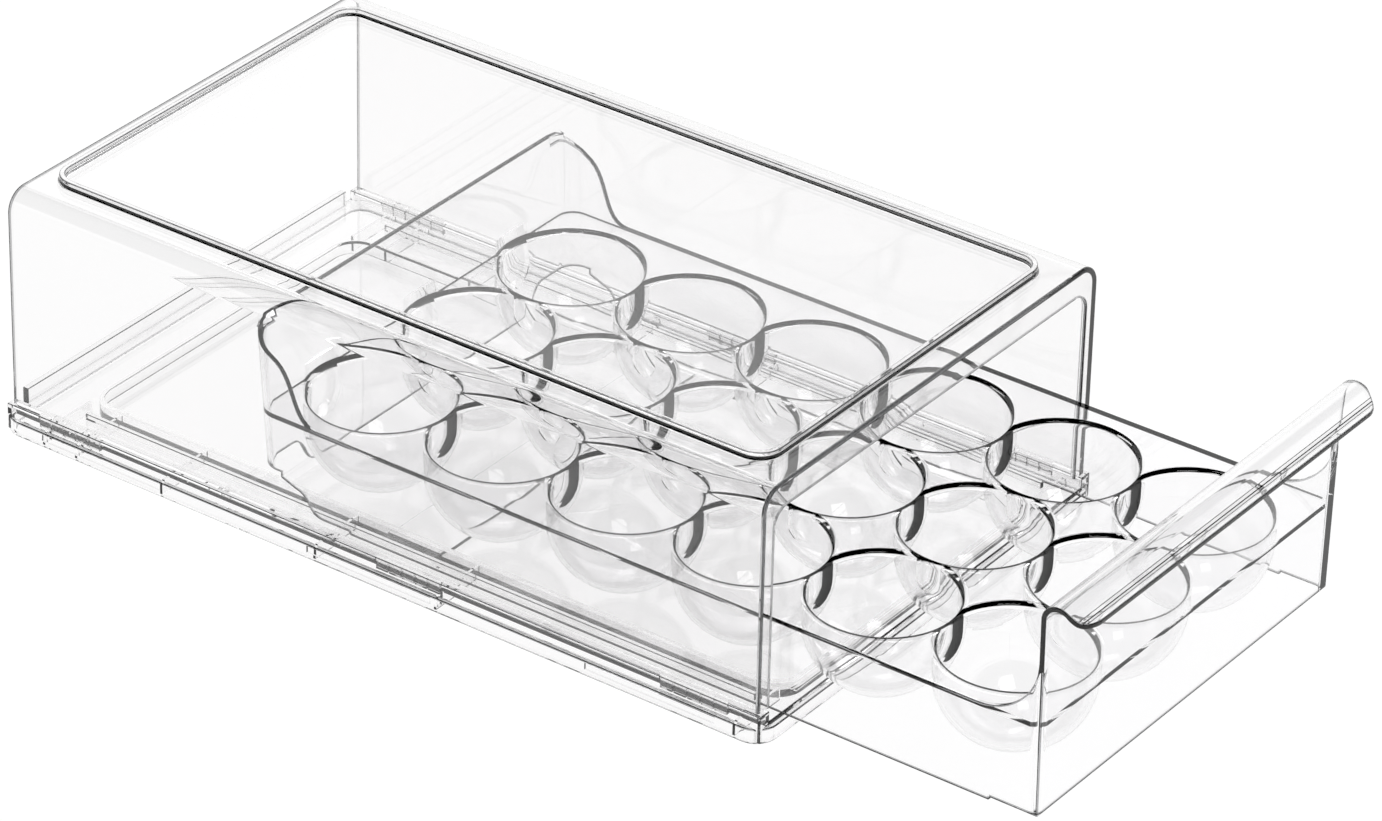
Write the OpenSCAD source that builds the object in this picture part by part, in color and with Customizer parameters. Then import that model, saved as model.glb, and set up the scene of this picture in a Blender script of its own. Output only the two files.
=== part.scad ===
// Egg holder tray: a clear drawer with a grid of egg cups that slides in a clear hood and base.
// Origin: centre of the base's underside. +Z up, the drawer opens towards -Y.

/* [Hood] */
// Outer width of the hood
hood_w = 186.4; // [180:0.2:200]
// Length of the hood, front to back
hood_l = 308; // [300:1:330]
// Height of the hood's flat top above the base's underside
hood_top = 91.1; // [88:0.1:110]
// Thickness of the hood's walls
hood_wall = 2; // [1.6:0.1:2.6]
// Outer radius of the hood's long top edges
hood_edge_r = 8; // [5:0.5:12]
// Depth of the lip that hangs across the front opening
lip_drop = 9.6; // [4:0.1:12]
// Width of the flange down each side of the front opening, from the hood's outer face
side_flange_w = 6.2; // [4:0.1:7]

/* [Stacking ring] */
// Height of the ring above the hood's flat top
ring_h = 2.5; // [1:0.1:3.5]
// Wall of the ring
ring_wall = 2; // [1.5:0.1:3]
// Gap from the hood's side faces to the ring
ring_side_gap = 14.2; // [10:0.1:18]
// Gap from the hood's front face to the ring
ring_front_gap = 10.2; // [5:0.1:20]
// Gap from the hood's rear face to the ring
ring_rear_gap = 5.8; // [4:0.1:20]
// Plan radius of the ring's corners
ring_corner_r = 9; // [5:0.5:14]

/* [Base] */
// Outer width of the base
base_w = 192.4; // [186:0.2:210]
// Length of the base
base_l = 315; // [308:1:340]
// Top of the outer band around the base
band_top = 5.5; // [4:0.1:6]
// Top of the side rims that the hood stands on
rim_top = 10.4; // [9.5:0.1:12]
// Level of the running surface round the recessed floor
platform_top = 6.8; // [6:0.1:7]
// Thickness of the recessed floor
floor_t = 2; // [1.5:0.1:2.5]
// Skin of the hollow moulding
base_skin = 1.6; // [1.4:0.1:2]

/* [Drawer] */
// How far the drawer stands open
drawer_out = 97; // [0:1:220]
// Half width of the drawer at its lower edge
drawer_half_w = 84.3; // [83:0.1:84.6]
// Level of the egg plate's top face
plate_top = 41.6; // [40:0.1:44]
// Thickness of the drawer's walls and plate
drawer_wall = 1.8; // [1.5:0.1:2]
// Top of the straight rear wall
rear_top = 72.8; // [60:0.1:78]
// Height at which the front panel starts to curl into the handle
curl_z = 80.6; // [78:0.1:81]

/* [Egg cups] */
// Columns across the drawer
cup_columns = 3; // [3:1:3]
// Rows along the drawer
cup_rows = 6; // [6:1:6]
// Pitch of the columns
cup_pitch_x = 51.1; // [50:0.1:52]
// Pitch of the rows
cup_pitch_y = 50; // [49:0.1:50]
// Inner radius of a cup
cup_r = 24.5; // [23:0.1:24.6]
// Wall of a cup
cup_wall = 1.5; // [1.2:0.1:1.6]
// Radius of a cup's flared mouth at the plate
mouth_r = 26.9; // [25.5:0.1:27]

/* [Hidden] */
$fn = 64;

eps = 0.01;
clear_blue = [0.86, 0.93, 0.96, 0.45];
clear_grey = [0.90, 0.92, 0.93, 0.55];
clear_white = [0.95, 0.96, 0.97, 0.5];

hood_front = -hood_l / 2;
base_front = -base_l / 2;

// Base: places measured from the hood's front face towards the back
base_corner_r = 8;
band_inset = 1.6;
rim_w = 5.2;
rim_end_gap = 1.5;
rim_slot_w = 2;
rail_x = 79.2;
rail_w = 1.8;
rail_top = 9;
rail_front = 9;
rail_rear = 286;
recess_half_w = 69;
recess_front = 7.1;
recess_rear = 292.5;
recess_corner_r = 8.5;
cross_band = [143, 165];
cross_band_h = 1;
sill_groove = [2, 4.5];
sill_groove_depth = 1;
rear_rim = [307.6, 310];
rear_rim_top = 12.5;
rear_rim_half_w = 85;
window_depth = 0.7;
window_z = [2.4, 4.9];
window_l = 51;
window_centres = [40.5, 154, 267.5];

// Snap tabs on the hood's lower edges drop through slots in the side rims
tab_l = 26;
tab_t = 1.6;
tab_bottom = 5.6;
tab_centres = [25, 139.5, 283];
tab_play = 0.3;

// Drawer: y runs back from the front panel's outer face, before the drawer is moved out
front_reveal = 2.1;
drawer_l = 306.9;
skirt_z = 7.1;
skirt_end_lift = 1.1;
runner = [18, 269];
side_lean = 0.0209;
rear_lean = 0.0559;
rear_corner_r = 8;
front_corner_r = 1.2;
wall_split = 298;
cup_first_y = 31.9;
cup_centre_z = 33.5;
mouth_depth = 2.8;
front_sweep_r = 23;
lip_end_y = -14.9;

// The drawer's rear corners: where the rear wall's top starts to slope, how far it has dropped by each
// place across, and the level of the lower edge there and in the middle
rear_corner_x = 74;
rear_top_slope = [[rear_corner_x, 0], [78, -0.5], [82, -2.3], [84.5, -4.8], [88, -10]];
rear_low = 20.5;
rear_low_middle = 10;

// Handle curl, as a centre line of two arcs that run forward and down
curl_r = 5.5;
curl_sweep = 130;
curl_straight = 2.8;
flare_r = 4.5;
flare_end = 1.7;
lip_corner_r = 9.5;

function arc(cx, cy, r, a0, a1, n = 12) =
    [for (i = [0:n]) let (a = a0 + (a1 - a0) * i / n) [cx + r * cos(a), cy + r * sin(a)]];

function bezier(p0, p1, p2, p3, n = 12) =
    [for (i = [0:n]) let (t = i / n, s = 1 - t)
        s * s * s * p0 + 3 * s * s * t * p1 + 3 * s * t * t * p2 + t * t * t * p3];

function reversed(list) = [for (i = [len(list) - 1:-1:0]) list[i]];

// A rectangle with round corners, from its low corner
module rounded_rect(size, r) {
    translate([r, 0]) square([size.x - 2 * r, size.y]);
    translate([0, r]) square([size.x, size.y - 2 * r]);
    for (x = [r, size.x - r], y = [r, size.y - r]) translate([x, y]) circle(r);
}

// A slab with round plan corners, centred on x, from y0 to y1 and z0 to z1
module slab(half_w, y0, y1, z0, z1, r) {
    translate([-half_w, y0, z0])
        linear_extrude(z1 - z0) rounded_rect([2 * half_w, y1 - y0], r);
}

// Extrudes a profile drawn in x and z along y, from y0 to y1
module along_y(y0, y1) {
    translate([0, y1, 0]) rotate([90, 0, 0]) linear_extrude(y1 - y0) children();
}

// Extrudes a profile drawn in y and z along x, from x0 to x1
module along_x(x0, x1) {
    translate([x0, 0, 0]) rotate([90, 0, 90]) linear_extrude(x1 - x0) children();
}

// Puts children that are placed from the hood's front face into the part's frame
module from_hood_front() {
    translate([0, hood_front, 0]) children();
}

module on_both_sides() {
    children();
    mirror([1, 0, 0]) children();
}

// ---------------------------------------------------------------- base

module base_bulk() {
    base_y = base_front - hood_front;
    slab(base_w / 2, base_y, base_y + base_l, 0, band_top, base_corner_r);
    slab(base_w / 2 - band_inset, base_y + band_inset, base_y + base_l - band_inset, 0, platform_top,
         base_corner_r - band_inset);
    on_both_sides() {
        translate([base_w / 2 - band_inset - rim_w, -rim_end_gap, 0])
            cube([rim_w, hood_l + 2 * rim_end_gap, rim_top]);
        translate([rail_x, rail_front, 0]) cube([rail_w, rail_rear - rail_front, rail_top]);
    }
    translate([-rear_rim_half_w, rear_rim[0], 0])
        cube([2 * rear_rim_half_w, rear_rim[1] - rear_rim[0], rear_rim_top]);
}

// The space under the platform and inside the side rims
module base_hollow() {
    base_y = base_front - hood_front;
    difference() {
        slab(base_w / 2 - base_skin - 0.4, base_y + base_skin + 0.4, base_y + base_l - base_skin - 0.4,
             -eps, platform_top - base_skin, base_corner_r - base_skin - 0.4);
        slab(recess_half_w + base_skin, recess_front - base_skin, recess_rear + base_skin, -1,
             platform_top, recess_corner_r + base_skin);
    }
}

module tab_slots() {
    for (y = tab_centres)
        translate([hood_w / 2 - hood_wall / 2 - rim_slot_w / 2, y - tab_l / 2 - tab_play, 1])
            cube([rim_slot_w, tab_l + 2 * tab_play, rim_top]);
}

module band_windows() {
    for (y = window_centres)
        translate([base_w / 2 - window_depth, y - window_l / 2, window_z[0]])
            cube([2 * window_depth, window_l, window_z[1] - window_z[0]]);
}

module base_tray() {
    color(clear_grey) from_hood_front() {
        difference() {
            base_bulk();
            base_hollow();
            slab(recess_half_w, recess_front, recess_rear, floor_t, rim_top + 5, recess_corner_r);
            on_both_sides() {
                tab_slots();
                band_windows();
            }
            translate([-recess_half_w, sill_groove[0], platform_top - sill_groove_depth])
                cube([2 * recess_half_w, sill_groove[1] - sill_groove[0], 2 * sill_groove_depth]);
        }
        translate([-recess_half_w - eps, cross_band[0], floor_t - eps])
            cube([2 * (recess_half_w + eps), cross_band[1] - cross_band[0], cross_band_h + eps]);
    }
}

// ---------------------------------------------------------------- hood

// Inverted U, closed along the bottom at z0, with round top corners
module arch(half_w, z0, z1, r) {
    translate([-half_w, z0]) square([2 * half_w, z1 - r - z0]);
    translate([-half_w + r, z0]) square([2 * (half_w - r), z1 - z0]);
    for (x = [-half_w + r, half_w - r]) translate([x, z1 - r]) circle(r);
}

module hood_shell() {
    along_y(0, hood_l) difference() {
        arch(hood_w / 2, rim_top, hood_top, hood_edge_r);
        arch(hood_w / 2 - hood_wall, rim_top - 1, hood_top - hood_wall, hood_edge_r - hood_wall);
    }
}

// The return round the front opening: a lip across the top and a flange down each side
module front_return() {
    along_y(0, hood_wall) difference() {
        arch(hood_w / 2 - 1, rim_top, hood_top - 1, hood_edge_r - 1);
        arch(hood_w / 2 - side_flange_w, rim_top - 1, hood_top - lip_drop, hood_edge_r - hood_wall);
    }
}

module stacking_ring() {
    half_w = hood_w / 2 - ring_side_gap;
    difference() {
        slab(half_w, ring_front_gap, hood_l - ring_rear_gap, hood_top - 0.5, hood_top + ring_h,
             ring_corner_r);
        slab(half_w - ring_wall, ring_front_gap + ring_wall, hood_l - ring_rear_gap - ring_wall,
             hood_top - 1, hood_top + ring_h + 1, ring_corner_r - ring_wall);
    }
}

module snap_tabs() {
    x = hood_w / 2 - hood_wall / 2 - tab_t / 2;
    for (y = tab_centres) {
        translate([x, y - tab_l / 2, tab_bottom]) cube([tab_t, tab_l, rim_top - tab_bottom + 0.5]);
    }
}

module hood_cover() {
    color(clear_blue) from_hood_front() {
        hood_shell();
        front_return();
        stacking_ring();
        on_both_sides() snap_tabs();
    }
}

// ---------------------------------------------------------------- drawer

module in_drawer_place() {
    translate([0, hood_front - front_reveal - drawer_out, 0]) children();
}

// The drawer's body as a solid that leans out towards the top, shrunk by inset on every side
module drawer_block(inset) {
    rear_r = rear_corner_r - inset;
    front_r = max(front_corner_r - inset, 0.1);
    hull() for (z = [-5, 95], s = [-1, 1]) {
        half_w = drawer_half_w + (z - skirt_z) * side_lean - inset;
        rear_y = drawer_l + (z - skirt_z) * rear_lean - inset;
        translate([s * (half_w - rear_r), rear_y - rear_r, z])
            cylinder(h = eps, r = rear_r, $fn = 40);
        translate([s * (half_w - front_r), front_r + inset, z])
            cylinder(h = eps, r = front_r, $fn = 16);
    }
}

// Outline of the side walls in y and z: raised ends of the skirt, runner, rear sweeps and front sweep
module side_outline() {
    raised = skirt_z + skirt_end_lift;
    lower_sweep = bezier([280, raised], [288, raised], [285, rear_low - 5.5], [292, rear_low - 4.2]);
    rear_sweep = bezier([283, plate_top], [293, plate_top], [291, plate_top + 15.4], [299, plate_top + 20.9]);
    front_sweep = arc(drawer_wall + front_sweep_r, plate_top + front_sweep_r, front_sweep_r, 180, 270);
    polygon(concat(
        [[-5, raised], [runner[0], raised], [runner[0], skirt_z], [runner[1], skirt_z],
         [runner[1] + 1, raised]],
        lower_sweep,
        [[300, rear_low - 1.2], [303.4, rear_low], [325, rear_low], [325, rear_top + 17],
         [309.6, rear_top + 1.2], [308.8, rear_top - 3.3], [305.5, rear_top - 6.3]],
        reversed(rear_sweep),
        reversed(front_sweep),
        [[-5, plate_top + front_sweep_r]]));
}

// Outline of the rear wall in x and z: sloping top corners and a raised lower edge near the sides
module rear_outline() {
    top_half = [for (p = rear_top_slope) [p.x, rear_top + p.y]];
    low_half = bezier([55, rear_low_middle], [62, rear_low_middle], [60, rear_low], [67, rear_low]);
    right = concat(low_half, [[95, rear_low], [95, rear_top - 14]], reversed(top_half));
    polygon(concat(right, reversed([for (p = right) [-p.x, p.y]])));
}

module drawer_walls() {
    intersection() {
        difference() {
            drawer_block(0);
            drawer_block(drawer_wall);
        }
        union() {
            on_both_sides() along_x(rear_corner_x, 100) side_outline();
            translate([-rear_corner_x, wall_split, 0]) cube([2 * rear_corner_x, 60, 100]);
        }
    }
}

module drawer_side(side) {
    intersection() {
        drawer_walls();
        translate([side > 0 ? 40 : -100, drawer_wall, 0]) cube([60, wall_split - drawer_wall, 100]);
    }
}

module drawer_side_left() {
    color(clear_white) in_drawer_place() drawer_side(-1);
}

module drawer_side_right() {
    color(clear_white) in_drawer_place() drawer_side(1);
}

module drawer_rear_wall() {
    color(clear_white) in_drawer_place() intersection() {
        drawer_walls();
        translate([-100, wall_split, 0]) cube([200, 40, 100]);
        along_y(wall_split - 1, 330) rear_outline();
    }
}

// The front panel's section in y and z, curling over into the handle
module handle_section() {
    t = drawer_wall / 2;
    c1 = [t - curl_r, curl_z];
    a1 = curl_sweep;
    start2 = c1 + curl_r * [cos(a1), sin(a1)] + curl_straight * [-sin(a1), cos(a1)];
    c2 = start2 + flare_r * [cos(a1), sin(a1)];
    end_y = c2.x - flare_end;
    polygon(concat(
        [[drawer_wall, skirt_z + skirt_end_lift]],
        arc(c1.x, c1.y, curl_r + t, 0, a1, 20),
        arc(c2.x, c2.y, flare_r - t, a1 - 180, -90, 8),
        [[end_y, c2.y - flare_r + t], [end_y, c2.y - flare_r - t]],
        reversed(arc(c2.x, c2.y, flare_r + t, a1 - 180, -90, 8)),
        reversed(arc(c1.x, c1.y, curl_r - t, 0, a1, 20)),
        [[0, skirt_z + skirt_end_lift]]));
}

module drawer_front_handle() {
    top = 95;
    half_low = drawer_half_w;
    half_high = drawer_half_w + (top - skirt_z) * side_lean;
    front_y = -25;
    color(clear_blue) in_drawer_place() intersection() {
        along_x(-100, 100) handle_section();
        along_y(front_y, 20) polygon([[-half_low, skirt_z], [half_low, skirt_z], [half_high, top],
                                      [-half_high, top]]);
        union() {
            slab(half_high, lip_end_y, 20, curl_z, top, lip_corner_r);
            translate([-100, -5, 0]) cube([200, 20, top]);
        }
    }
}

module at_each_cup() {
    for (c = [0:cup_columns - 1], r = [0:cup_rows - 1])
        translate([(c - (cup_columns - 1) / 2) * cup_pitch_x, cup_first_y + r * cup_pitch_y, cup_centre_z])
            children();
}

// A round-bottomed solid of revolution: half a ball with a straight part of the given rise above it
module pot(r, rise) {
    rotate_extrude() {
        intersection() {
            circle(r);
            translate([0, -r]) square(r);
        }
        square([r, rise]);
    }
}

module cup_outside() {
    pot(cup_r + cup_wall, plate_top - drawer_wall / 2 - cup_centre_z);
}

module cup_inside() {
    rise = plate_top - cup_centre_z;
    pot(cup_r, rise + 1);
    translate([0, 0, rise - mouth_depth]) cylinder(h = mouth_depth + eps, r1 = cup_r, r2 = mouth_r);
}

module egg_cup_plate() {
    plate_z = plate_top - drawer_wall;
    half_w = drawer_half_w - drawer_wall + (plate_z - skirt_z) * side_lean;
    rear_y = drawer_l - drawer_wall;
    lean_angle = atan(rear_lean);
    corner_r = rear_corner_r - drawer_wall;
    color(clear_white) in_drawer_place() difference() {
        union() {
            intersection() {
                slab(half_w, -20, rear_y + (plate_z - skirt_z) * rear_lean, plate_z, plate_top, corner_r);
                translate([-100, drawer_wall, 0]) cube([200, 400, 100]);
            }
            at_each_cup() cup_outside();
        }
        at_each_cup() cup_inside();
        translate([-100, rear_y, skirt_z]) rotate([-lean_angle, 0, 0]) translate([0, 0, -30])
            cube([200, 40, 130]);
    }
}

base_tray();
hood_cover();
drawer_front_handle();
drawer_side_left();
drawer_side_right();
drawer_rear_wall();
egg_cup_plate();
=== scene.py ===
import math
from collections import namedtuple
from contextlib import contextmanager

import bmesh
import bpy
from bpy.props import FloatProperty, FloatVectorProperty, IntProperty, PointerProperty
from bpy.types import Operator, Panel, PropertyGroup
from mathutils import Matrix, Vector


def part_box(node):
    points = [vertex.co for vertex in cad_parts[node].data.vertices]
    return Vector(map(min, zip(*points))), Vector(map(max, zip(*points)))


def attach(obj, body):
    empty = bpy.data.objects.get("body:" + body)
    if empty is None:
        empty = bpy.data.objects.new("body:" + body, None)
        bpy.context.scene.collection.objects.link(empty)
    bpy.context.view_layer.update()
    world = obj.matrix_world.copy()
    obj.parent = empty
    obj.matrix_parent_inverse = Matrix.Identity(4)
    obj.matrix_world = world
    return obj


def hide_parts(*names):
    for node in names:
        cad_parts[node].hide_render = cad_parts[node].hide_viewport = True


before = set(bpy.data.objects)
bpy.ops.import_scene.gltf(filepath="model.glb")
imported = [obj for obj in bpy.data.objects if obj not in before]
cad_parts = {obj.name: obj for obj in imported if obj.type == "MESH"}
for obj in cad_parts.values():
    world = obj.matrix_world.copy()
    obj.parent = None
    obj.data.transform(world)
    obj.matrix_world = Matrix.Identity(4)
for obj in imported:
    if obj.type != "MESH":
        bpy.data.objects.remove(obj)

bl_info = {
    "name": "Clear Egg Drawer",
    "version": (1, 0, 0),
    "blender": (4, 5, 0),
    "location": "View3D > Sidebar > Egg Drawer",
    "description": "Builds a clear hood, base and egg drawer around their packed frame",
    "category": "Add Mesh",
}

MM = 0.001
WIDE = 120 * MM          # past either side of the object
OVERSHOOT = 5 * MM       # how far a cutting solid passes the face it cuts
TOUCH = 0.001 * MM       # points nearer than this are the same point
SLIVER = 0.005 * MM      # what a cut leaves that is smaller than this is closed up
CORNER_ANGLE = 0.6       # faces that turn by more than this, in radians, meet in a corner
SMOOTH_ANGLE = math.radians(35)
WALL_SLOT = 0
# Painted shade: the edge slot's dark material stands in for the dark lines that refraction draws at a clear
# moulding's edges
EDGE_SHADE_SLOT = 1
FINE_SHARE = 0.6         # of the soft edge, on the base's rims, rails and cross band

# How many flat steps make up each round
SOFT_STEPS = 3
FRONT_STEPS = 4
TIP_STEPS = 6
FLARE_STEPS = 8
CORNER_STEPS = 10
CURVE_STEPS = 12
SWEEP_STEPS = 16
CURL_STEPS = 20
CUP_STEPS = 80

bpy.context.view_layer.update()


# ---------------------------------------------------------------- settings

def length(name, description, default):
    """A size in metres."""
    return FloatProperty(name=name, description=description, default=default, min=0,
                         precision=5, subtype="DISTANCE", unit="LENGTH")


def colour(name, description, default):
    """A colour."""
    return FloatVectorProperty(name=name, description=description, default=default,
                               subtype="COLOR", size=3, min=0, max=1)


class HoodSettings(PropertyGroup):
    """Sizes of the hood, its stacking ring and its snap tabs."""
    wall: length("Wall", "Thickness of the hood's walls", 2 * MM)
    edge_radius: length("Edge radius", "Outer radius of the two long top edges", 8 * MM)
    inner_radius: length("Inner radius", "Inner radius of the two long top edges", 6 * MM)
    foot: length("Foot", "Level of the lower edges, just clear of the base's rims", 10.45 * MM)
    lip_drop: length("Lip drop", "Depth of the lip across the front opening", 9.6 * MM)
    flange: length("Flange", "Width of the flange down each side of the opening", 6.2 * MM)
    opening_radius: length("Opening radius", "Radius of the opening's top corners", 6 * MM)
    ring_height: length("Ring height", "Height of the stacking ring above the top", 2.5 * MM)
    ring_wall: length("Ring wall", "Wall of the stacking ring", 2 * MM)
    ring_side_gap: length("Ring side gap", "From the hood's sides to the ring", 14.2 * MM)
    ring_front_gap: length("Ring front gap", "From the hood's front to the ring", 10.2 * MM)
    ring_rear_gap: length("Ring rear gap", "From the hood's rear to the ring", 5.8 * MM)
    ring_radius: length("Ring radius", "Plan radius of the ring's corners", 9 * MM)
    ring_edge: length("Ring edge", "Radius on the ring's top edges", 0.4 * MM)
    ring_foot: length("Ring foot", "Fillet where the ring's outside meets the top", 0.9 * MM)
    tab_length: length("Tab length", "Length of each snap tab", 26 * MM)
    tab_thickness: length("Tab thickness", "Thickness of each snap tab", 1.6 * MM)
    tab_ribs: IntProperty(name="Tab ribs", description="Ribs that make up a snap tab", default=5, min=1)
    rib_gap: length("Rib gap", "Gap between a tab's ribs", 0.6 * MM)
    soft_edge: length("Soft edge", "Radius left on the moulding's small edges", 0.8 * MM)


class BaseSettings(PropertyGroup):
    """Sizes of the base."""
    corner_radius: length("Corner radius", "Plan radius of the base's corners", 8 * MM)
    band_top: length("Band top", "Top of the outer band", 5.5 * MM)
    band_inset: length("Band inset", "Step from the outer band in to the platform", 1.6 * MM)
    platform_top: length("Platform top", "Level of the running surface", 6.8 * MM)
    rim_width: length("Rim width", "Width of the rims that the hood stands on", 5.2 * MM)
    rim_top: length("Rim top", "Top of the side rims", 10.4 * MM)
    rim_overrun: length("Rim overrun", "How far the rims pass the hood's ends", 1.5 * MM)
    rail_place: length("Rail place", "From the middle to each guide rail", 79.2 * MM)
    rail_width: length("Rail width", "Width of each guide rail", 1.8 * MM)
    rail_top: length("Rail top", "Top of the guide rails", 9 * MM)
    recess_half: length("Recess half width", "Half width of the recessed floor", 69 * MM)
    recess_radius: length("Recess radius", "Plan radius of the recess's corners", 8.5 * MM)
    floor: length("Floor", "Thickness of the recessed floor", 2 * MM)
    cross_band: length("Cross band", "Rise of the band across the recessed floor", 1 * MM)
    rear_rim_half: length("Rear rim half width", "Half width of the rear rim", 85 * MM)
    slot_width: length("Slot width", "Width of the slots for the snap tabs", 2 * MM)
    slot_length: length("Slot length", "Length of the slots for the snap tabs", 26.6 * MM)
    window_depth: length("Window depth", "Depth of the windows in the outer band", 0.7 * MM)
    window_length: length("Window length", "Length of the windows in the outer band", 51 * MM)
    groove_depth: length("Groove depth", "Depth of the groove across the sill", 1 * MM)
    skin: length("Skin", "Thickness of the hollow moulding", 1.6 * MM)
    rim_skin: length("Rim skin", "Thickness of the rims' hollow sides", 1.3 * MM)
    band_skin: length("Band skin", "Thickness of the outer band", 2 * MM)
    web: length("Web", "Thickness of the webs under the platform", 1 * MM)
    soft_edge: length("Soft edge", "Radius left on the moulding's small edges", 0.5 * MM)
    recess_edge: length("Recess edge", "Radius round the recessed floor's edge", 0.3 * MM)


class DrawerSettings(PropertyGroup):
    """Sizes of the drawer, its cups and its handle."""
    wall: length("Wall", "Thickness of the drawer's walls and plate", 1.8 * MM)
    half_width: length("Half width", "Half width at the lower edge", 84.3 * MM)
    length: length("Length", "Length at the lower edge", 306.9 * MM)
    side_lean: FloatProperty(name="Side lean", default=0.0209,
                             description="Outward lean of the sides for each unit of height")
    rear_lean: FloatProperty(name="Rear lean", default=0.0559,
                             description="Outward lean of the rear for each unit of height")
    rear_radius: length("Rear radius", "Plan radius of the two rear corners", 8 * MM)
    front_radius: length("Front radius", "Plan radius of the two front corners", 1.2 * MM)
    front_fillet: length("Front fillet", "Inner radius of the two front corners", 2.4 * MM)
    skirt_lift: length("Skirt lift", "Rise of the lower edge at its two ends", 1.1 * MM)
    plate_radius: length("Plate radius", "Plan radius of the plate's corners", 7 * MM)
    cup_radius: length("Cup radius", "Inner radius of an egg cup", 24.5 * MM)
    cup_wall: length("Cup wall", "Wall of an egg cup", 1.5 * MM)
    mouth_radius: length("Mouth radius", "Radius of a cup's mouth at the plate", 26.9 * MM)
    cup_centre: length("Cup centre", "Level of the middle of a cup's ball", 33.5 * MM)
    first_row: length("First row", "From the front to the middle of the first row", 31.9 * MM)
    column_pitch: length("Column pitch", "Pitch of the cups across the drawer", 51.1 * MM)
    row_pitch: length("Row pitch", "Pitch of the cups along the drawer", 50 * MM)
    columns: IntProperty(name="Columns", description="Cups across the drawer", default=3, min=1)
    rows: IntProperty(name="Rows", description="Cups along the drawer", default=6, min=1)
    curl_level: length("Curl level", "Height at which the front panel starts to curl", 80.6 * MM)
    curl_radius: length("Curl radius", "Radius of the handle's curl", 5.5 * MM)
    curl_straight: length("Curl straight", "Straight part between the curl and the flare", 2.8 * MM)
    curl_sweep: FloatProperty(name="Curl sweep", description="Turn of the handle's curl", subtype="ANGLE",
                              unit="ROTATION", default=math.radians(130))
    flare_radius: length("Flare radius", "Radius of the flare under the curl", 4.5 * MM)
    flare_end: length("Flare end", "Straight part at the end of the flare", 1.7 * MM)
    lip_radius: length("Lip radius", "Plan radius of the handle's two outer corners", 9.5 * MM)
    soft_edge: length("Soft edge", "Radius left on the moulding's small edges", 0.5 * MM)


class FinishSettings(PropertyGroup):
    """Colours of the clear plastic, and the painted shade on its small rounded edges."""
    hood_colour: colour("Hood colour", "Colour of the hood's plastic", (0.955, 0.95, 0.95))
    base_colour: colour("Base colour", "Colour of the base's plastic", (0.965, 0.96, 0.96))
    drawer_colour: colour("Drawer colour", "Colour of the drawer's plastic", (0.98, 0.977, 0.98))
    # Painted shade: a dark tint on the small rounded edges, in place of the dark lines that refraction draws
    # there
    edge_colour: colour("Edge colour", "Colour of the small rounded edges", (0.16, 0.16, 0.165))
    flow_tint: colour("Flow tint", "Colour that the plastic drifts towards in places", (0.90, 0.91, 0.92))
    refraction: FloatProperty(name="Refraction", description="Refractive index of the plastic",
                              default=1.5, min=1, max=2)


class StageSettings(PropertyGroup):
    """The camera, the floor and the lights."""
    camera_place: FloatVectorProperty(name="Camera place", description="Where the camera stands",
                                      subtype="TRANSLATION", unit="LENGTH",
                                      default=(-1.58981, -1.19087, 1.20981))
    camera_target: FloatVectorProperty(name="Camera target", description="The point looked at",
                                       subtype="TRANSLATION", unit="LENGTH",
                                       default=(-0.03573, -0.08411, 0.06861))
    camera_roll: FloatProperty(name="Camera roll", description="Turn of the camera about its view",
                               subtype="ANGLE", unit="ROTATION", default=math.radians(1.441))
    camera_lens: FloatProperty(name="Lens", description="Focal length in millimetres",
                               default=181.07, min=10)
    sensor_width: FloatProperty(name="Sensor width", description="Width of the sensor in millimetres",
                                default=36, min=1)
    floor_size: length("Floor size", "Width of the square floor", 12.0)
    floor_drop: length("Floor drop", "How far the floor lies under the base", 0.5 * MM)
    light_power: FloatProperty(name="Light power", description="Power of the key light in watts",
                               default=12, min=0)


# ---------------------------------------------------------------- outlines, in millimetres

# Places along the hood, from its front face towards the back
TAB_CENTRES = (25, 139.5, 283)
WINDOW_CENTRES = (40.5, 154, 267.5)
WEB_PLACES = (8, 127, 177, 242, 279, 293)
RAIL_ENDS = (9, 286)
RECESS_ENDS = (7.1, 292.5)
CROSS_BAND_ENDS = (143, 165)
SILL_GROOVE_ENDS = (2, 4.5)
REAR_RIM_ENDS = (307.6, 310)
WINDOW_LEVELS = (2.4, 4.9)

# The drawer's side walls: distance back from the front panel, and height above what each one names
RUNNER_ENDS = (18, 269)
REAR_LOW = 20.5
LOWER_SWEEP = ((280, 8.2), (288, 8.2), (285, REAR_LOW - 5.5), (292, REAR_LOW - 4.2))
LOWER_REAR = ((300, REAR_LOW - 1.2), (303.4, REAR_LOW), (325, REAR_LOW))
UPPER_REAR = ((325, 17), (309.6, 1.2), (308.8, -3.3), (305.5, -6.3))          # above the rear wall's top
UPPER_SWEEP = ((283, 0), (293, 0), (291, 15.4), (299, 20.9))                  # above the plate
FRONT_SWEEP = 23

# The drawer's rear wall: distance from the middle, and height
REAR_WALL_START = 298
REAR_STRAIGHT = 74
REAR_TOP_SLOPE = ((REAR_STRAIGHT, 0), (78, -0.5), (82, -2.3), (84.5, -4.8), (88, -10))
REAR_LOW_CURVE = ((55, 10), (62, 10), (60, REAR_LOW), (67, REAR_LOW))

# Levels between which the drawer's leaning body is made, before it is cut to its outlines
LEAN_LEVELS = (-5, 95)

# Scuffs show where their noise lies in this range
SCUFF_RANGE = (0.55, 0.75)

# The sky: brightness by height, as shares of its strength, and the axis that heights are taken on
SKY = ((0.0, 0.8), (0.30, 0.8), (0.36, 1.0), (0.45, 1.0), (0.54, 0.0))
SKY_STRENGTH = 1.25
SKY_TILT = (-0.12, -0.09, 1)

FLOOR_GREY = 0.04        # how much of the light that falls on the floor comes back
FLOOR_GLOW = 1.0
CAMERA_CLIP = (0.05, 50)

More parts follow.
